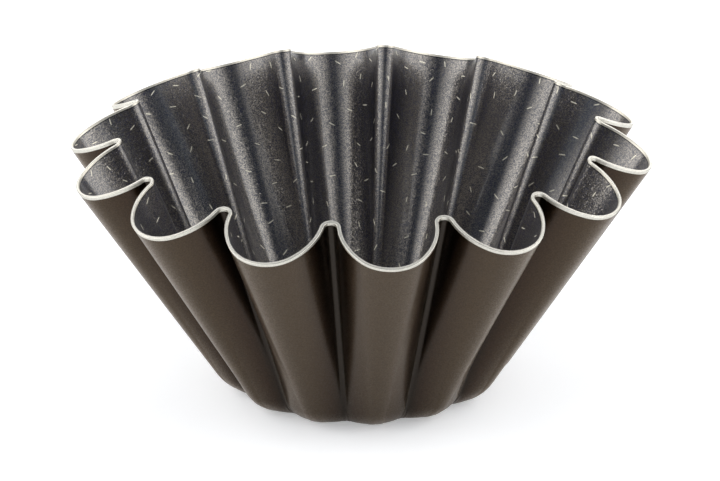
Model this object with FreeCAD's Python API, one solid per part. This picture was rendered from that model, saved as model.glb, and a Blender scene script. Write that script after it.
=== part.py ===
"""Fluted brioche mould: one round blank of sheet aluminium pressed into a cup with deep flutes,
lacquered outside and lined inside with a two-coat non-stick finish. Millimetres, +Z up, with the
origin under the middle of the base and one flute centred on +X."""
import FreeCAD, Part
import math
import os

# Flutes around the cup, rounded outwards, with a narrow ridge between each two.
FLUTES = 14

# Outside of the sheet at the rim.
RIM_FLUTE_RADIUS = 110.2
RIM_FLUTE_DEPTH = 19.3
RIM_FLUTE_ARC = 15.4
RIM_FLANK_ARC = 28.4
RIM_RIDGE_ARC = 2.5
RIM_RIDGE_HEIGHT = 100.9
RIM_FLUTE_DROP = 10.15

# Outside of the sheet at the foot, where wall and base would meet if the toe were sharp.
FOOT_FLUTE_RADIUS = 52.0
FOOT_FLUTE_DEPTH = 3.0
FOOT_FLUTE_ARC = 10.0
FOOT_FLANK_ARC = 20.0
FOOT_RIDGE_ARC = 2.3

# Rounded toe: how far it reaches in along the base and up the wall, and the ridges where it ends.
TOE_INSET = 9.5
TOE_HEIGHT = 9.5
TOE_RIDGE_ARC = 5.0

# Layers, measured level through the walls and upright through the base.
SHEET = 1.3
LACQUER = 0.05
BASE_COAT = 0.04
TOP_COAT = 0.04

# Bare metal left along the trimmed rim, on the outside and on the inside.
OUTER_BARE_EDGE = 1.4
INNER_BARE_EDGE = 0.9

# How far the untrimmed walls run past the rim.
OVERRUN = 2.0

# Most of its room that a flute arc may take, so that some flank is left beside it.
ROUNDING_LIMIT_SHARE = 0.96

AXIS = FreeCAD.Vector(0, 0, 1)
ORIGIN = FreeCAD.Vector(0, 0, 0)
MIRROR_NORMAL = FreeCAD.Vector(0, 1, 0)
HALF_PITCH = math.pi / FLUTES
RIM_RIDGE_RADIUS = RIM_FLUTE_RADIUS - RIM_FLUTE_DEPTH
FOOT_RIDGE_RADIUS = FOOT_FLUTE_RADIUS - FOOT_FLUTE_DEPTH

# Each layer from the outside inwards: its thickness, the bare edge above it, and the names of its
# base and its walls. A layer with one name for both is one piece.
LAYERS = [
    (LACQUER, OUTER_BARE_EDGE, "base_lacquer", "wall_lacquer"),
    (SHEET, 0, "pressed_shell", "pressed_shell"),
    (BASE_COAT, INNER_BARE_EDGE, "nonstick_base_coat", "nonstick_base_coat"),
    (TOP_COAT, INNER_BARE_EDGE, "nonstick_top_coat", "nonstick_top_coat"),
]


def plan_sizes(height):
    """Outside of the sheet in plan: flute and ridge radii, then flute, flank and ridge arcs."""
    flute_rise = height / (RIM_RIDGE_HEIGHT - RIM_FLUTE_DROP)
    ridge_rise = height / RIM_RIDGE_HEIGHT
    flute = FOOT_FLUTE_RADIUS + (RIM_FLUTE_RADIUS - FOOT_FLUTE_RADIUS) * flute_rise
    ridge = FOOT_RIDGE_RADIUS + (RIM_RIDGE_RADIUS - FOOT_RIDGE_RADIUS) * ridge_rise
    flute_arc = FOOT_FLUTE_ARC + (RIM_FLUTE_ARC - FOOT_FLUTE_ARC) * flute_rise
    flank_arc = FOOT_FLANK_ARC + (RIM_FLANK_ARC - FOOT_FLANK_ARC) * flute_rise
    ridge_arc = FOOT_RIDGE_ARC + (RIM_RIDGE_ARC - FOOT_RIDGE_ARC) * ridge_rise
    return flute, ridge, flute_arc, flank_arc, ridge_arc


def on_circle(centre, radius, angle):
    return centre + FreeCAD.Vector(radius * math.cos(angle), radius * math.sin(angle), 0)


def arc_run(centre, radius, start, end):
    """A circular arc as a run of three poles, each with its weight."""
    weight = math.cos((end - start) / 2)
    corner = on_circle(centre, radius / weight, (start + end) / 2)
    return [(on_circle(centre, radius, start), 1), (corner, weight), (on_circle(centre, radius, end), 1)]


def half_flute(height, offset, sizes):
    """Half a flute in plan, from its middle to the ridge, moved outwards by offset.
    It is a flute arc, a flank arc and a ridge arc, each running smoothly into the next."""
    flute, ridge, flute_arc, flank_arc, ridge_arc = sizes
    # One arc all the way to the ridge would have this radius. The flute arc is tighter, the flank arc wider.
    across = flute - (ridge + ridge_arc) * math.cos(HALF_PITCH)
    along = (ridge + ridge_arc) * math.sin(HALF_PITCH)
    single_arc = (across**2 + along**2 - ridge_arc**2) / (2 * (across + ridge_arc))
    flute_arc = min(flute_arc, ROUNDING_LIMIT_SHARE * single_arc)
    flank_arc = max(flank_arc, single_arc / ROUNDING_LIMIT_SHARE)
    flute_centre = FreeCAD.Vector(flute - flute_arc, 0, height)
    ridge_centre = on_circle(AXIS * height, ridge + ridge_arc, HALF_PITCH)
    apart = ridge_centre - flute_centre
    wider = flank_arc - flute_arc
    lean = ((flank_arc + ridge_arc)**2 - apart.Length**2 - wider**2) / (2 * wider * apart.Length)
    flute_end = math.atan2(apart.y, apart.x) - math.acos(lean)
    flank_centre = on_circle(flute_centre, -wider, flute_end)
    reach = ridge_centre - flank_centre
    flank_end = math.atan2(reach.y, reach.x)
    return [
        arc_run(flute_centre, flute_arc + offset, 0, flute_end),
        arc_run(flank_centre, flank_arc + offset, flute_end, flank_end),
        arc_run(ridge_centre, ridge_arc - offset, math.pi + flank_end, math.pi + HALF_PITCH),
    ]


def between_runs(lower, upper, rise):
    """The run part of the way up the straight wall lines that join two runs."""
    run = []
    for (low, low_weight), (high, high_weight) in zip(lower, upper):
        weight = low_weight * (1 - rise) + high_weight * rise
        point = low * (low_weight * (1 - rise) / weight) + high * (high_weight * rise / weight)
        run.append((point, weight))
    return run


def skin_runs(offset, floor):
    """Half a flute of one skin: its base edge, rounded corner, top of the toe and crown above the rim."""
    top = RIM_RIDGE_HEIGHT + OVERRUN
    foot_sizes = plan_sizes(floor)
    crown_sizes = plan_sizes(top)
    flute, ridge, flute_arc, flank_arc, _ = foot_sizes
    base_sizes = (flute - TOE_INSET, ridge - TOE_INSET, flute_arc, flank_arc, TOE_RIDGE_ARC)
    base = half_flute(floor, offset, base_sizes)
    foot = half_flute(floor, offset, foot_sizes)
    crown = half_flute(top, offset, crown_sizes)
    toe_rise = TOE_HEIGHT / (top - floor)
    toe = [between_runs(low, high, toe_rise) for low, high in zip(foot, crown)]
    roundness = math.cos(math.atan2(top - floor, crown_sizes[0] - flute) / 2)
    corner = [[(point, weight * roundness) for point, weight in run] for run in foot]
    return base, corner, toe, crown


def patch(runs):
    """A smooth face from run to run, straight between two runs and rounded through three."""
    surface = Part.BezierSurface()
    surface.increase(len(runs[0]) - 1, len(runs) - 1)
    for column, run in enumerate(runs, 1):
        for row, (point, weight) in enumerate(run, 1):
            surface.setPole(row, column, point, weight)
    return surface.toShape()


def edge(run):
    curve = Part.BezierCurve()
    curve.setPoles([point for point, _ in run])
    for number, (_, weight) in enumerate(run, 1):
        curve.setWeight(number, weight)
    return curve.toShape()


def all_round(shapes):
    """Half a flute's shapes, mirrored into a whole flute and repeated round the cup."""
    flute = shapes + [shape.mirror(ORIGIN, MIRROR_NORMAL) for shape in shapes]
    turns = [math.degrees(2 * HALF_PITCH * count) for count in range(FLUTES)]
    return [shape.rotated(ORIGIN, AXIS, turn) for turn in turns for shape in flute]


def trim_dome(bare):
    """The ball that trims the rim, so that the ridges end higher than the flutes between them."""
    reach = RIM_FLUTE_RADIUS**2 - RIM_RIDGE_RADIUS**2
    below = (reach / RIM_FLUTE_DROP + RIM_FLUTE_DROP) / 2
    centre = AXIS * (RIM_RIDGE_HEIGHT - below)
    return Part.makeSphere(math.hypot(below, RIM_RIDGE_RADIUS) - bare, centre)


def rim_edge(wall):
    """The edge of a trimmed wall face that lies along the rim: the one whose middle is highest."""
    return max(wall.Edges, key=lambda side: side.CenterOfMass.z)


def layer_faces(offset, floor, thickness, bare):
    """One layer's faces: its two bases, its walls with their rim strip, and the seam between both."""
    dome = trim_dome(bare)
    bases = []
    walls = []
    base_runs = []
    rims = []
    for skin_offset, skin_floor in ((offset, floor), (offset - thickness, floor + thickness)):
        base, corner, toe, crown = skin_runs(skin_offset, skin_floor)
        base_edges = all_round([edge(run) for run in base])
        bases.append(Part.Face(Part.Wire(Part.__sortEdges__(base_edges))))
        toes = [patch(runs) for runs in zip(base, corner, toe)]
        sides = [patch(runs).common(dome).Faces[0] for runs in zip(toe, crown)]
        walls += all_round(toes + sides)
        base_runs.append(base)
        rims.append([rim_edge(side) for side in sides])
    walls += all_round([Part.makeRuledSurface(outer, inner).Faces[0] for outer, inner in zip(*rims)])
    seam = all_round([patch(runs) for runs in zip(*base_runs)])
    return bases, walls, seam


def save(name, faces):
    solid = Part.Solid(Part.Shell(faces))
    if solid.Volume < 0:
        solid.reverse()
    solid.exportStep(f"parts/{name}.step")
    print(name, "valid", solid.isValid(), "volume", round(solid.Volume, 1))


def main():
    os.makedirs("parts", exist_ok=True)
    offset = LACQUER
    floor = 0
    for thickness, bare, base_name, wall_name in LAYERS:
        bases, walls, seam = layer_faces(offset, floor, thickness, bare)
        if base_name == wall_name:
            save(wall_name, bases + walls)
        else:
            save(base_name, bases + seam)
            save(wall_name, walls + seam)
        offset -= thickness
        floor += thickness


main()
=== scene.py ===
"""Looks for the fluted brioche mould: lacquered outside, bare trimmed rim, flecked non-stick lining."""
import itertools
import math
import random

import bpy
import numpy as np
from mathutils import Matrix, Vector
from mathutils.bvhtree import BVHTree


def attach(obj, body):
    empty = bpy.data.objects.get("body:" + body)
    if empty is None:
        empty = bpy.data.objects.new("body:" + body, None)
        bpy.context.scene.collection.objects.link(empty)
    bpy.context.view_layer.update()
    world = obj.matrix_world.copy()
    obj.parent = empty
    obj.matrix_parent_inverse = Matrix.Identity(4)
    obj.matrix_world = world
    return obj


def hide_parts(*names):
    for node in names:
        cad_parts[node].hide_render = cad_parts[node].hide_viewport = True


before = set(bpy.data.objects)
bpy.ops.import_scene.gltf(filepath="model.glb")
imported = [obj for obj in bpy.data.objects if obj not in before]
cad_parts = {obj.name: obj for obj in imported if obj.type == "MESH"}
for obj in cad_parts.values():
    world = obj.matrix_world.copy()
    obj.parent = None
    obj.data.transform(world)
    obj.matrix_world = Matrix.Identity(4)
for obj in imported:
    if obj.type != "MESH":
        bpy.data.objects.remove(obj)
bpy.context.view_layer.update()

MM = 0.001

# Sizes of the mould in millimetres, as in the part's source.
FLUTES = 14
RIM_FLUTE_RADIUS = 110.2
RIM_FLUTE_DEPTH = 19.3
RIM_FLUTE_ARC = 15.4
RIM_FLANK_ARC = 28.4
RIM_RIDGE_ARC = 2.5
RIM_RIDGE_HEIGHT = 100.9
RIM_FLUTE_DROP = 10.15
FOOT_FLUTE_RADIUS = 52.0
FOOT_FLUTE_DEPTH = 3.0
FOOT_FLUTE_ARC = 10.0
FOOT_FLANK_ARC = 20.0
FOOT_RIDGE_ARC = 2.3
TOE_INSET = 9.5
TOE_HEIGHT = 9.5
TOE_RIDGE_ARC = 5.0
ROUNDING_LIMIT_SHARE = 0.96
SHEET = 1.3
LACQUER = 0.05
COATS = 0.08
OUTER_BARE_EDGE = 1.4
INNER_BARE_EDGE = 0.9
OVERRUN = 2.0
HALF_PITCH = math.pi / FLUTES
RIM_RIDGE_RADIUS = RIM_FLUTE_RADIUS - RIM_FLUTE_DEPTH
FOOT_RIDGE_RADIUS = FOOT_FLUTE_RADIUS - FOOT_FLUTE_DEPTH

# Mesh steps: along half a flute (flute arc, flank arc, ridge arc), up the toe and up the wall.
RUN_STEPS = (12, 10, 10)
TOE_STEPS = 12
WALL_STEPS = 22
FLUTE_COLUMNS = 2 * sum(RUN_STEPS)
DISC_RINGS = 5
EDGE_STEPS = 5

# Millimetres by which a layer's hidden face sinks into the sheet, and the rounding of the trimmed edge.
SUNK = 0.02
EDGE_ROUND = 0.3

# Angles in degrees above which an edge is shaded sharp.
COAT_SHARP_ANGLE = 40
SHEET_SHARP_ANGLE = 60


def plan_sizes(height):
    """Radii of flute and ridge and of the three arcs, at a height on the straight wall."""
    flute_rise = height / (RIM_RIDGE_HEIGHT - RIM_FLUTE_DROP)
    ridge_rise = height / RIM_RIDGE_HEIGHT
    flute = FOOT_FLUTE_RADIUS + (RIM_FLUTE_RADIUS - FOOT_FLUTE_RADIUS) * flute_rise
    ridge = FOOT_RIDGE_RADIUS + (RIM_RIDGE_RADIUS - FOOT_RIDGE_RADIUS) * ridge_rise
    flute_arc = FOOT_FLUTE_ARC + (RIM_FLUTE_ARC - FOOT_FLUTE_ARC) * flute_rise
    flank_arc = FOOT_FLANK_ARC + (RIM_FLANK_ARC - FOOT_FLANK_ARC) * flute_rise
    ridge_arc = FOOT_RIDGE_ARC + (RIM_RIDGE_ARC - FOOT_RIDGE_ARC) * ridge_rise
    return flute, ridge, flute_arc, flank_arc, ridge_arc


def poles(points, weights, height):
    """Homogeneous poles from points in plan and their weights."""
    return np.array([(x * w, y * w, height * w, w) for (x, y), w in zip(points, weights)])


def arc_poles(centre, radius, start, end, height):
    """The three poles of an arc in plan."""
    weight = math.cos((end - start) / 2)
    spots = ((radius, start), (radius / weight, (start + end) / 2), (radius, end))
    points = [(centre[0] + reach * math.cos(a), centre[1] + reach * math.sin(a)) for reach, a in spots]
    return poles(points, (1, weight, 1), height)


def half_flute(height, offset, sizes):
    """Poles of half a flute in plan: flute arc, flank arc and ridge arc, each tangent to the next."""
    flute, ridge, flute_arc, flank_arc, ridge_arc = sizes
    reach = ridge + ridge_arc
    ridge_centre = np.array((reach * math.cos(HALF_PITCH), reach * math.sin(HALF_PITCH)))
    across, along = flute - ridge_centre[0], ridge_centre[1]
    single_arc = (across**2 + along**2 - ridge_arc**2) / (2 * (across + ridge_arc))
    flute_arc = min(flute_arc, ROUNDING_LIMIT_SHARE * single_arc)
    flank_arc = max(flank_arc, single_arc / ROUNDING_LIMIT_SHARE)
    flute_centre = np.array((flute - flute_arc, 0.0))
    apart = ridge_centre - flute_centre
    far = math.hypot(*apart)
    wider = flank_arc - flute_arc
    lean = ((flank_arc + ridge_arc) ** 2 - far**2 - wider**2) / (2 * wider * far)
    flute_end = math.atan2(apart[1], apart[0]) - math.acos(lean)
    flank_centre = flute_centre - wider * np.array((math.cos(flute_end), math.sin(flute_end)))
    flank_end = math.atan2(*(ridge_centre - flank_centre)[::-1])
    return [
        arc_poles(flute_centre, flute_arc + offset, 0, flute_end, height),
        arc_poles(flank_centre, flank_arc + offset, flute_end, flank_end, height),
        arc_poles(ridge_centre, ridge_arc - offset, math.pi + flank_end, math.pi + HALF_PITCH, height),
    ]


def sampled(runs):
    """Homogeneous points along the three runs, without the doubled joints."""
    rows = []
    for run, steps in zip(runs, RUN_STEPS):
        u = np.linspace(0, 1, steps + 1)[:, None]
        rows.append(((1 - u) ** 2 * run[0] + 2 * u * (1 - u) * run[1] + u**2 * run[2])[:-1])
    return np.vstack(rows + [runs[-1][-1][None]])


def whole_ring(half):
    """Half a flute of points (rows, columns, xyz), mirrored and repeated round the cup."""
    mirrored = half[:, :0:-1] * (1, -1, 1)
    flute = np.concatenate([mirrored, half[:, :-1]], axis=1)
    turns = []
    for count in range(FLUTES):
        c, s = math.cos(2 * HALF_PITCH * count), math.sin(2 * HALF_PITCH * count)
        turns.append(flute @ np.array([(c, s, 0), (-s, c, 0), (0, 0, 1)]))
    return np.concatenate(turns, axis=1)


def skin(offset, floor, bare):
    """One skin as rows from the base edge to the rim, and the row of its rim trimmed by the dome."""
    top = RIM_RIDGE_HEIGHT + OVERRUN
    flute, ridge, flute_arc, flank_arc, _ = foot_sizes = plan_sizes(floor)
    crown_sizes = plan_sizes(top)
    base_sizes = (flute - TOE_INSET, ridge - TOE_INSET, flute_arc, flank_arc, TOE_RIDGE_ARC)
    base = sampled(half_flute(floor, offset, base_sizes))
    foot = sampled(half_flute(floor, offset, foot_sizes))
    crown = sampled(half_flute(top, offset, crown_sizes))
    rise = TOE_HEIGHT / (top - floor)
    toe = foot * (1 - rise) + crown * rise
    corner = foot * math.cos(math.atan2(top - floor, crown_sizes[0] - flute) / 2)
    rows = []
    for v in np.linspace(0, 1, TOE_STEPS + 1):
        row = (1 - v) ** 2 * base + 2 * v * (1 - v) * corner + v**2 * toe
        rows.append(row[:, :3] / row[:, 3:])
    # The dome that trims the rim.
    below = ((RIM_FLUTE_RADIUS**2 - RIM_RIDGE_RADIUS**2) / RIM_FLUTE_DROP + RIM_FLUTE_DROP) / 2
    radius = math.hypot(below, RIM_RIDGE_RADIUS) - bare
    centre = np.array((0, 0, RIM_RIDGE_HEIGHT - below))
    step = crown - toe
    p, q = toe[:, :3] - toe[:, 3:] * centre, step[:, :3] - step[:, 3:] * centre
    a = (q**2).sum(1) - (radius * step[:, 3]) ** 2
    b = (p * q).sum(1) - radius**2 * toe[:, 3] * step[:, 3]
    c = (p**2).sum(1) - (radius * toe[:, 3]) ** 2
    v = (-b + np.sqrt(b**2 - a * c)) / a
    rim = toe + v[:, None] * step
    rim = rim[:, :3] / rim[:, 3:]
    return np.array(rows), rim


def skin_rows(offset, floor, bare, cut=0.0):
    """Rows of a whole skin, outwards along the base, up the toe and up the wall, ending cut below the rim."""
    rows, rim = skin(offset, floor, bare)
    down = rows[-1] - rim
    end = rim + down / np.linalg.norm(down, axis=1)[:, None] * cut
    wall = [rows[-1] + (end - rows[-1]) * s for s in np.linspace(0, 1, WALL_STEPS + 1)[1:]]
    disc = [rows[0] * (s, s, 1) for s in np.linspace(0, 1, DISC_RINGS + 1)[1:-1]]
    return whole_ring(np.array(disc + list(rows) + wall)), whole_ring(rim[None])


def rounded_edge(outer, outer_rim, inner_rim, inner):
    """Rows over the trimmed edge, rounded at its outer and its inner corner."""
    across = inner_rim - outer_rim
    across = across / np.linalg.norm(across, axis=1)[:, None] * EDGE_ROUND
    rows = []
    for start, corner, end in ((outer, outer_rim, outer_rim + across), (inner_rim - across, inner_rim, inner)):
        for s in np.linspace(0, 1, EDGE_STEPS + 1):
            rows.append((1 - s) ** 2 * start + 2 * s * (1 - s) * corner + s**2 * end)
    return rows[1:-1]


def closed_layer(name, rows, sharp_angle):
    """A closed mesh from rows that run from the middle of one base over the rim to the middle of the other."""
    count, columns = rows.shape[:2]
    centres = rows[0].mean(0), rows[-1].mean(0)
    points = np.concatenate([rows.reshape(-1, 3), centres]) * MM
    c = np.arange(columns)
    n = (c + 1) % columns
    faces = []
    for r in range(count - 1):
        low, high = r * columns, (r + 1) * columns
        faces += np.stack([low + c, low + n, high + n, high + c], 1).tolist()
    first, last = count * columns, count * columns + 1
    faces += [(first, int(b), int(a)) for a, b in zip(c, n)]
    end = (count - 1) * columns
    faces += [(last, int(end + a), int(end + b)) for a, b in zip(c, n)]
    mesh = bpy.data.meshes.new(name)
    mesh.from_pydata(points.tolist(), [], faces)
    mesh.shade_smooth()
    mesh.set_sharp_from_angle(angle=math.radians(sharp_angle))
    made = bpy.data.objects.new(name, mesh)
    bpy.context.scene.collection.objects.link(made)
    return made


# The three layers.
outer_rows, _ = skin_rows(LACQUER, 0, OUTER_BARE_EDGE)
under_rows, _ = skin_rows(-SUNK, LACQUER + SUNK, OUTER_BARE_EDGE)
lacquer = closed_layer("lacquer", np.concatenate([outer_rows, under_rows[::-1]]), COAT_SHARP_ANGLE)

out_rows, out_rim = skin_rows(0, LACQUER, 0, EDGE_ROUND)
in_rows, in_rim = skin_rows(-SHEET, LACQUER + SHEET, 0, EDGE_ROUND)
edge_rows = np.array(rounded_edge(out_rows[-1], out_rim[0], in_rim[0], in_rows[-1]))
shell_rows = np.concatenate([out_rows, edge_rows, in_rows[::-1]])
shell = closed_layer("shell", shell_rows, SHEET_SHARP_ANGLE)

back_rows, _ = skin_rows(SUNK - SHEET, LACQUER + SHEET - SUNK, INNER_BARE_EDGE)
face_rows, _ = skin_rows(-SHEET - COATS, LACQUER + SHEET + COATS, INNER_BARE_EDGE)
lining_rows = np.concatenate([back_rows, face_rows[::-1]])
lining = closed_layer("lining", lining_rows, COAT_SHARP_ANGLE)

# A coordinate round each flute for the lacquer, from 0 at its middle to 1 on the ridge, and one up the wall;
# the first places the lacquer's painted shade in the valleys between flutes.
half_run = out_rim[0][FLUTE_COLUMNS // 2:FLUTE_COLUMNS]
half_run = np.concatenate([[0], np.cumsum(np.linalg.norm(np.diff(half_run, axis=0), axis=1))])
half_share = half_run / half_run[-1]
ring_share = np.tile(np.concatenate([[1], half_share[:0:-1], half_share]), FLUTES)
painted_shade_uv = lacquer.data.uv_layers.new(name="round_flute")
uv = np.zeros((len(lacquer.data.loops), 2))
for k, loop in enumerate(lacquer.data.loops):
    i = loop.vertex_index
    uv[k] = ring_share[i % len(ring_share)], lacquer.data.vertices[i].co.z
painted_shade_uv.data.foreach_set("uv", uv.ravel())

# Coordinates for the marks on the trimmed edge: along the rim, and across it from the middle of the edge.
across = np.concatenate([[0], np.cumsum(np.linalg.norm(np.diff(shell_rows[:, 0], axis=0), axis=1))])
middle = len(out_rows) + len(edge_rows) // 2
across -= (across[middle - 1] + across[middle]) / 2
rim_step = np.linalg.norm(np.diff(np.vstack([out_rim[0], out_rim[0][:1]]), axis=0), axis=1)
rim_run = np.concatenate([[0], np.cumsum(rim_step)])
columns = out_rim.shape[1]
marks = shell.data.uv_layers.new(name="along_rim")
uv = np.zeros((len(shell.data.loops), 2))
for polygon in shell.data.polygons:
    ids = [shell.data.loops[k].vertex_index for k in polygon.loop_indices]
    wraps = max(i % columns for i in ids) - min(i % columns for i in ids) > 1
    for k, i in zip(polygon.loop_indices, ids):
        row, column = divmod(i, columns)
        along = rim_run[columns] if wraps and column == 0 else rim_run[column]
        uv[k] = along * MM, across[min(row, len(across) - 1)] * MM
marks.data.foreach_set("uv", uv.ravel())

# A coordinate for the lining, down from its top edge.
below_edge = np.linalg.norm(lining_rows - face_rows[-1], axis=2).ravel()
below_edge = np.append(below_edge, [RIM_RIDGE_HEIGHT, RIM_RIDGE_HEIGHT]) * MM
corners = np.empty(len(lining.data.loops), dtype=np.int32)
lining.data.loops.foreach_get("vertex_index", corners)
brim = lining.data.uv_layers.new(name="below_edge")
brim.data.foreach_set("uv", np.stack([np.zeros(len(corners)), below_edge[corners]], axis=1).ravel())

# Printed flecks, scattered over the lining with an even random spacing. Sizes are in millimetres; the
# stretch is the range of a fleck's share of the usual length, and the end width is a share of its width.
FLECK_LENGTH = 2.5
FLECK_WIDTH = 0.42
FLECK_SPACING = 7.8
FLECK_TRIES = 9000
FLECK_PROUD = 0.012
FLECK_STRETCH = (0.85, 1.15)
FLECK_END_WIDTH = 0.35
FLECK_END_POWER = 6
FLECK_LIFT = 4.0
FLECK_SEARCH = 12.0
FLECK_SEED = 14
ACROSS, ALONG = 2, 5
rng = random.Random(FLECK_SEED)
surface = BVHTree.FromPolygons(
    [v.co for v in lining.data.vertices],
    [p.vertices[:] for p in lining.data.polygons],
)
faced = face_rows * MM
quads = []
areas = []
for r in range(faced.shape[0] - 1):
    for col in range(faced.shape[1]):
        nxt = (col + 1) % faced.shape[1]
        quad = faced[r, col], faced[r, nxt], faced[r + 1, nxt], faced[r + 1, col]
        quads.append(quad)
        areas.append(np.linalg.norm(np.cross(quad[2] - quad[0], quad[3] - quad[1])) / 2)
picks = rng.choices(range(len(quads)), weights=areas, k=FLECK_TRIES)
cells = {}
points, faces = [], []
for pick in picks:
    a, b, c, d = quads[pick]
    s, t = rng.random(), rng.random()
    turn = rng.uniform(0, math.pi)
    stretch = rng.uniform(*FLECK_STRETCH)
    spot = Vector((1 - s) * ((1 - t) * a + t * b) + s * ((1 - t) * d + t * c))
    cell = tuple(int(math.floor(x / (FLECK_SPACING * MM))) for x in spot)
    near = [
        other
        for i, j, k in itertools.product((-1, 0, 1), repeat=3)
        for other in cells.get((cell[0] + i, cell[1] + j, cell[2] + k), ())
    ]
    if any((spot - other).length < FLECK_SPACING * MM for other in near):
        continue
    _, normal, _, _ = surface.find_nearest(spot)
    side = normal.orthogonal().normalized()
    side.rotate(Matrix.Rotation(turn, 3, normal))
    beside = normal.cross(side)
    grid = []
    for i in range(ALONG + 1):
        along = i / ALONG - 0.5
        taper = math.sqrt(max(0.0, 1 - (2 * abs(along)) ** FLECK_END_POWER))
        for j in range(ACROSS + 1):
            across = (j / ACROSS - 0.5) * (FLECK_END_WIDTH + (1 - FLECK_END_WIDTH) * taper)
            p = spot + side * (along * FLECK_LENGTH * stretch * MM) + beside * (across * FLECK_WIDTH * MM)
            on, n, _, _ = surface.ray_cast(p + normal * (FLECK_LIFT * MM), -normal, FLECK_SEARCH * MM)
            if on is None:
                break
            grid.append((on, n if n.dot(normal) > 0 else -n))
    if len(grid) < (ALONG + 1) * (ACROSS + 1):
        continue
    cells.setdefault(cell, []).append(spot)
    first = len(points)
    size = len(grid)
    points += [tuple(on + n * (FLECK_PROUD * MM)) for on, n in grid]
    points += [tuple(on - n * (SUNK * MM)) for on, n in grid]
    w = ACROSS + 1
    for i in range(ALONG):
        for j in range(ACROSS):
            low, high = first + i * w + j, first + (i + 1) * w + j
            q = [low, high, high + 1, low + 1]
            faces.append(q)
            faces.append([k + size for k in q[::-1]])
    ring = [i * w for i in range(ALONG + 1)] + [ALONG * w + j for j in range(1, w)]
    ring += [i * w + ACROSS for i in range(ALONG - 1, -1, -1)] + [j for j in range(ACROSS - 1, 0, -1)]
    for i, k in zip(ring, ring[1:] + ring[:1]):
        faces.append([first + k, first + i, first + i + size, first + k + size])
mesh = bpy.data.meshes.new("fleck_print")
mesh.from_pydata(points, [], faces)
mesh.update()
flecks = bpy.data.objects.new("fleck_print", mesh)
bpy.context.scene.collection.objects.link(flecks)


# Materials. Cells or waves per metre of their textures:
LACQUER_FLAKES = 2600.0
LACQUER_SPECKS = 1800.0
LACQUER_CLOUDS = 35.0
LINING_FLAKES = 3500.0
LINING_CLOUDS = 30.0
FLECK_PATCHES = 900.0
FILE_MARKS = (4200.0, 350.0, 1.0)

# The range that holds nearly all values of a noise texture.
NOISE_LOW, NOISE_HIGH = 0.3, 0.7

# Cells of the lining with a random value up to the first are binder, and from the second on metal flake.
BINDER_END, FLAKE_START = 0.30, 0.32

# How strongly flakes tilt, and the power that leaves most of the lining's flakes nearly level.
LACQUER_TILT = 0.12
LINING_TILT = (0.08, 0.34)
LINING_TILT_POWER = 3.0

# Millimetres below the lining's top edge over which a dark band along that edge ends, and the share of the
# colour left in that band.
EDGE_DARKENING_ENDS = (0.3, 0.4)
EDGE_DARKENING_SHARE = 0.08

# Millimetres to either side of the middle of the trimmed edge that the zones of the bare metal span.
ZONE_REACH = 2.0


def node(tree, kind, sockets=None, **settings):
    """A node with its settings, and with its sockets set to values or linked."""
    made = tree.nodes.new(kind)
    for key, value in settings.items():
        setattr(made, key, value)
    for key, value in (sockets or {}).items():
        if isinstance(value, bpy.types.NodeSocket):
            tree.links.new(value, made.inputs[key])
        else:
            made.inputs[key].default_value = value
    return made


def material(name):
    """A new material and its empty node tree."""
    made = bpy.data.materials.new(name)
    made.use_nodes = True
    made.node_tree.nodes.clear()
    return made, made.node_tree


def close(tree, shader):
    """Joins a shader to the material's output."""
    node(tree, "ShaderNodeOutputMaterial", {"Surface": shader})


def spread(tree, value, low, high, start=0.0, end=1.0):
    """A value mapped from the range start to end onto the range low to high."""
    sockets = {"Value": value, "From Min": start, "From Max": end, "To Min": low, "To Max": high}
    return node(tree, "ShaderNodeMapRange", sockets).outputs["Result"]


def tilted(tree, colour, amount):
    """The surface normal, tilted at random by each cell's colour."""
    normal = node(tree, "ShaderNodeNewGeometry").outputs["Normal"]
    grey = (0.5, 0.5, 0.5)
    centred = node(tree, "ShaderNodeVectorMath", {0: colour, 1: grey}, operation="SUBTRACT").outputs[0]
    push = node(tree, "ShaderNodeVectorMath", {0: centred, "Scale": amount}, operation="SCALE").outputs[0]
    leaned = node(tree, "ShaderNodeVectorMath", {0: normal, 1: push}, operation="ADD").outputs[0]
    return node(tree, "ShaderNodeVectorMath", {0: leaned}, operation="NORMALIZE").outputs[0]


def scattered(tree, place, scale, detail):
    """The value of a noise texture."""
    sockets = {"Vector": place, "Scale": scale, "Detail": detail}
    return node(tree, "ShaderNodeTexNoise", sockets).outputs["Fac"]


def times(tree, first, second):
    """Two colours multiplied."""
    return node(tree, "ShaderNodeVectorMath", {0: first, 1: second}, operation="MULTIPLY").outputs[0]


def ramp(tree, value, *stops):
    """A colour ramp through stops of a position and a colour."""
    made = node(tree, "ShaderNodeValToRGB", {"Fac": value})
    elements = made.color_ramp.elements
    for _ in stops[2:]:
        elements.new(0.5)
    for element, (position, colour) in zip(elements, stops):
        element.position = position
        element.color = (*colour, 1)
    return made.outputs["Color"]


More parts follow.
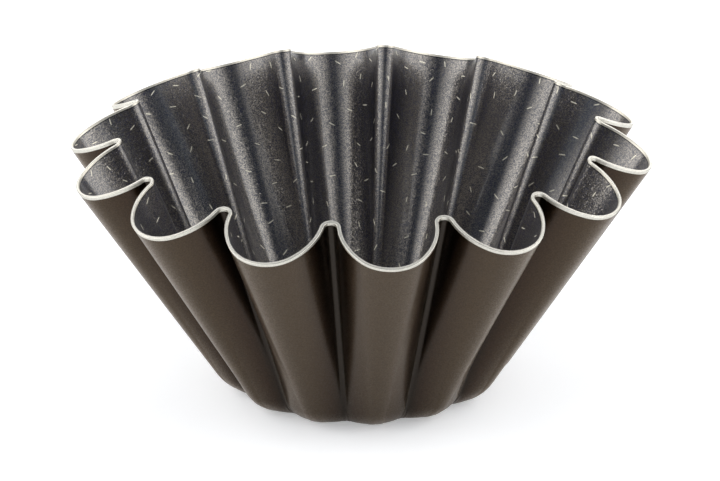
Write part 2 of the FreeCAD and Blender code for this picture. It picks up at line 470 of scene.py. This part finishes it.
def lacquer_material():
    made, tree = material("brown_lacquer")
    place = node(tree, "ShaderNodeTexCoord").outputs["Object"]
    grain = node(tree, "ShaderNodeTexVoronoi", {"Vector": place, "Scale": LACQUER_FLAKES}).outputs["Color"]
    cloud = scattered(tree, place, LACQUER_CLOUDS, 3.0)
    speck = scattered(tree, place, LACQUER_SPECKS, 1.0)
    round_flute = node(tree, "ShaderNodeUVMap", uv_map="round_flute").outputs["UV"]
    depth = node(tree, "ShaderNodeSeparateXYZ", {"Vector": round_flute}).outputs["X"]
    flake = ramp(
        tree, speck,
        (NOISE_LOW, (0.041, 0.027, 0.014)),
        (NOISE_HIGH, (0.063, 0.042, 0.0225)),
    )
    # Painted shade: the colour darkens from the middle of a flute to the ridge beside it, standing in for the
    # shade in the valleys between flutes.
    painted_valley_shade = ramp(
        tree, depth,
        (0.0, (1.0, 1.0, 1.0)),
        (0.35, (1.0, 0.97, 0.95)),
        (0.75, (0.56, 0.44, 0.38)),
        (0.95, (0.28, 0.26, 0.24)),
    )
    shader = node(tree, "ShaderNodeBsdfPrincipled", {
        "Base Color": times(tree, flake, painted_valley_shade),
        "Metallic": 1.0,
        "Specular Tint": (1.0, 0.90, 0.80, 1),
        "Roughness": spread(tree, cloud, 0.28, 0.34, NOISE_LOW, NOISE_HIGH),
        "Coat Weight": 0.4,
        "Coat Roughness": 0.2,
        "Normal": tilted(tree, grain, LACQUER_TILT),
    })
    close(tree, shader.outputs[0])
    return made


def lining_material():
    made, tree = material("nonstick_lining")
    place = node(tree, "ShaderNodeTexCoord").outputs["Object"]
    grain = node(tree, "ShaderNodeTexVoronoi", {"Vector": place, "Scale": LINING_FLAKES}).outputs["Color"]
    cell = node(tree, "ShaderNodeSeparateColor", {"Color": grain}).outputs
    sockets = {0: cell["Blue"], 1: LINING_TILT_POWER}
    loose = node(tree, "ShaderNodeMath", sockets, operation="POWER").outputs[0]
    cloud = scattered(tree, place, LINING_CLOUDS, 3.0)
    below = node(tree, "ShaderNodeUVMap", uv_map="below_edge").outputs["UV"]
    down = node(tree, "ShaderNodeSeparateXYZ", {"Vector": below}).outputs["Y"]
    # The lining's colour is darker in a thin band along its top edge.
    top_edge_darkening = spread(tree, down, EDGE_DARKENING_SHARE, 1.0, EDGE_DARKENING_ENDS[0] * MM, EDGE_DARKENING_ENDS[1] * MM)
    flake = ramp(
        tree, cell["Red"],
        (BINDER_END, (0.024, 0.023, 0.040)),
        (FLAKE_START, (0.079, 0.074, 0.070)),
        (1.0, (0.226, 0.206, 0.182)),
    )
    shaded = node(tree, "ShaderNodeVectorMath", {0: flake, "Scale": top_edge_darkening}, operation="SCALE").outputs[0]
    shader = node(tree, "ShaderNodeBsdfPrincipled", {
        "Base Color": shaded,
        "Metallic": spread(tree, cell["Red"], 0.0, 1.0, BINDER_END, FLAKE_START),
        "Roughness": spread(tree, cloud, 0.28, 0.33, NOISE_LOW, NOISE_HIGH),
        "Coat Weight": 0.6,
        "Coat Roughness": 0.14,
        "Normal": tilted(tree, grain, spread(tree, loose, *LINING_TILT)),
    })
    close(tree, shader.outputs[0])
    return made


def fleck_material():
    made, tree = material("fleck_print")
    place = node(tree, "ShaderNodeTexCoord").outputs["Object"]
    patchy = scattered(tree, place, FLECK_PATCHES, 2.0)
    shader = node(tree, "ShaderNodeBsdfPrincipled", {
        "Base Color": ramp(tree, patchy, (NOISE_LOW, (0.62, 0.58, 0.46)), (NOISE_HIGH, (0.80, 0.75, 0.62))),
        "Metallic": 0.4,
        "Roughness": spread(tree, patchy, 0.4, 0.55),
    })
    close(tree, shader.outputs[0])
    return made


def aluminium_material():
    made, tree = material("bare_aluminium")
    along = node(tree, "ShaderNodeUVMap", uv_map="along_rim").outputs["UV"]
    stretched = node(tree, "ShaderNodeMapping", {"Vector": along, "Scale": FILE_MARKS}).outputs["Vector"]
    lines = scattered(tree, stretched, 1.0, 2.0)
    across = node(tree, "ShaderNodeSeparateXYZ", {"Vector": along}).outputs["Y"]
    # Zones across the trimmed edge: a lighter cut face with a grey line near its outer corner and a darker
    # inner side; partly the burnished and torn zones of a sheared edge, partly painted highlight and painted
    # shade.
    zone = ramp(
        tree, spread(tree, across, 0.0, 1.0, -ZONE_REACH * MM, ZONE_REACH * MM),
        (0.36, (0.90, 0.90, 0.88)),
        (0.39, (0.60, 0.59, 0.57)),
        (0.43, (0.62, 0.61, 0.59)),
        (0.46, (1.0, 0.99, 0.96)),
        (0.63, (1.0, 0.99, 0.96)),
        (0.68, (0.68, 0.66, 0.62)),
    )
    sheen = ramp(tree, lines, (NOISE_LOW, (0.75, 0.72, 0.65)), (NOISE_HIGH, (0.91, 0.88, 0.81)))
    sockets = {"Height": lines, "Strength": 0.25, "Distance": 0.1 * MM}
    bump = node(tree, "ShaderNodeBump", sockets).outputs["Normal"]
    shader = node(tree, "ShaderNodeBsdfPrincipled", {
        "Base Color": times(tree, sheen, zone),
        "Metallic": 1.0,
        "Roughness": spread(tree, lines, 0.42, 0.52, NOISE_LOW, NOISE_HIGH),
        "Normal": bump,
    })
    close(tree, shader.outputs[0])
    return made


FINISHES = (
    (lacquer, lacquer_material()),
    (shell, aluminium_material()),
    (lining, lining_material()),
    (flecks, fleck_material()),
)
for piece, finish in FINISHES:
    piece.data.materials.append(finish)
    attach(piece, "root")
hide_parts("base_lacquer", "wall_lacquer")
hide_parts("pressed_shell")
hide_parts("nonstick_base_coat", "nonstick_top_coat")

# Stage: a white floor, a world that is white to the camera and dim blue to the mould, two large soft boxes at
# the sides, three strips in front, a box overhead and a wide light behind. Lengths are in metres.
FLOOR_SIZE = 12
FLOOR_GREY = (0.9, 0.9, 0.9, 1)
WHITE = (1, 1, 1, 1)
FLOOR_LIFT_SEEN = 0.33
FLOOR_LIFT_MIRRORED = 0.12
ROOM_COLOUR = (0.52, 0.70, 1.0, 1)
ROOM_STRENGTH = 0.12
LIGHT_TARGET = Vector((0, 0, 0.05))
STRIP_BLUE = (0.76, 0.87, 1.0)

# The camera, fitted to the photo: its angles and place, and its sensor and lens in millimetres.
SENSOR_WIDTH = 36.0
LENS = 223.3
AZIMUTH = math.radians(6.54)
ELEVATION = math.radians(23.0)
DISTANCE = 1.696
ROLL = math.radians(-0.30)
TARGET = Vector((0, 0, 0.0556))
toward = Vector((math.sin(AZIMUTH), -math.cos(AZIMUTH), 0))
right = Vector((math.cos(AZIMUTH), math.sin(AZIMUTH), 0))

bpy.ops.mesh.primitive_plane_add(size=FLOOR_SIZE)
floor = bpy.context.object
floor.name = "floor"
finish, tree = material("white_floor")
paths = node(tree, "ShaderNodeLightPath").outputs
sockets = {0: paths["Is Glossy Ray"], 1: FLOOR_LIFT_MIRRORED}
mirrored = node(tree, "ShaderNodeMath", sockets, operation="MULTIPLY").outputs[0]
sockets = {0: paths["Is Camera Ray"], 1: FLOOR_LIFT_SEEN, 2: mirrored}
lift = node(tree, "ShaderNodeMath", sockets, operation="MULTIPLY_ADD").outputs[0]
diffuse = node(tree, "ShaderNodeBsdfDiffuse", {"Color": FLOOR_GREY}).outputs[0]
glow = node(tree, "ShaderNodeEmission", {"Color": WHITE, "Strength": lift}).outputs[0]
close(tree, node(tree, "ShaderNodeAddShader", {0: diffuse, 1: glow}).outputs[0])
floor.data.materials.append(finish)

world = bpy.data.worlds.new("studio")
bpy.context.scene.world = world
world.use_nodes = True
tree = world.node_tree
tree.nodes.clear()
paths = node(tree, "ShaderNodeLightPath").outputs
dim = node(tree, "ShaderNodeBackground", {"Color": ROOM_COLOUR, "Strength": ROOM_STRENGTH}).outputs[0]
white = node(tree, "ShaderNodeBackground", {"Color": WHITE, "Strength": 1.0}).outputs[0]
mixed = node(tree, "ShaderNodeMixShader", {0: paths["Is Camera Ray"], 1: dim, 2: white}).outputs[0]
node(tree, "ShaderNodeOutputWorld", {"Surface": mixed})


def soft_box(name, side, height, distance, wide, high, radiance, colour=(1, 1, 1), fade=None):
    """A soft box at an angle from the camera's side of the mould, facing it. With fade, a pair of shares
    of its width, it brightens from nothing at the first to its full radiance at the second."""
    side, height = math.radians(side), math.radians(height)
    level = toward * math.cos(side) + right * math.sin(side)
    out = level * math.cos(height) + Vector((0, 0, math.sin(height)))
    data = bpy.data.lights.new(name, "AREA")
    data.shape = "RECTANGLE"
    data.size = wide
    data.size_y = high
    data.energy = radiance * wide * high * math.pi
    data.color = colour
    if fade:
        data.use_nodes = True
        tree = data.node_tree
        tree.nodes.clear()
        across = node(tree, "ShaderNodeNewGeometry").outputs["Parametric"]
        share = node(tree, "ShaderNodeSeparateXYZ", {"Vector": across}).outputs["X"]
        glow = node(tree, "ShaderNodeEmission", {"Strength": spread(tree, share, 0.0, 1.0, *fade)}).outputs[0]
        node(tree, "ShaderNodeOutputLight", {"Surface": glow})
    made = bpy.data.objects.new(name, data)
    made.location = LIGHT_TARGET + out * distance
    made.rotation_euler = out.to_track_quat("Z", "Y").to_euler()
    made.visible_camera = False
    bpy.context.scene.collection.objects.link(made)


soft_box("left_box", side=-65, height=31, distance=1.4, wide=2.6, high=1.7, radiance=2.9, fade=(0.93, 0.46))
soft_box("right_box", side=66, height=31, distance=1.4, wide=2.6, high=1.7, radiance=2.9, fade=(0.17, 0.52))
soft_box("left_strip", side=-28, height=20, distance=1.4, wide=0.6, high=0.25, radiance=1.2)
soft_box("right_strip", side=30, height=20, distance=1.4, wide=0.6, high=0.25, radiance=1.7)
soft_box("front_strip", side=0, height=16, distance=1.4, wide=0.8, high=0.3, radiance=0.7, colour=STRIP_BLUE)
soft_box("top_box", side=0, height=90, distance=1.4, wide=1.6, high=1.6, radiance=0.2)
soft_box("backdrop", side=180, height=20, distance=2.2, wide=4.0, high=2.0, radiance=1.6)

data = bpy.data.cameras.new("camera")
data.sensor_width = SENSOR_WIDTH
data.lens = LENS
camera = bpy.data.objects.new("camera", data)
back = toward * math.cos(ELEVATION) + Vector((0, 0, math.sin(ELEVATION)))
up = Vector((0, 0, 1)) - back * back.z
up.normalize()
turned = right * math.cos(ROLL) + up * math.sin(ROLL)
raised = back.cross(turned)
aim = Matrix((turned, raised, back)).transposed().to_4x4()
camera.matrix_world = Matrix.Translation(TARGET + back * DISTANCE) @ aim
bpy.context.scene.collection.objects.link(camera)
bpy.context.scene.camera = camera
bpy.context.scene.view_settings.view_transform = "Standard"
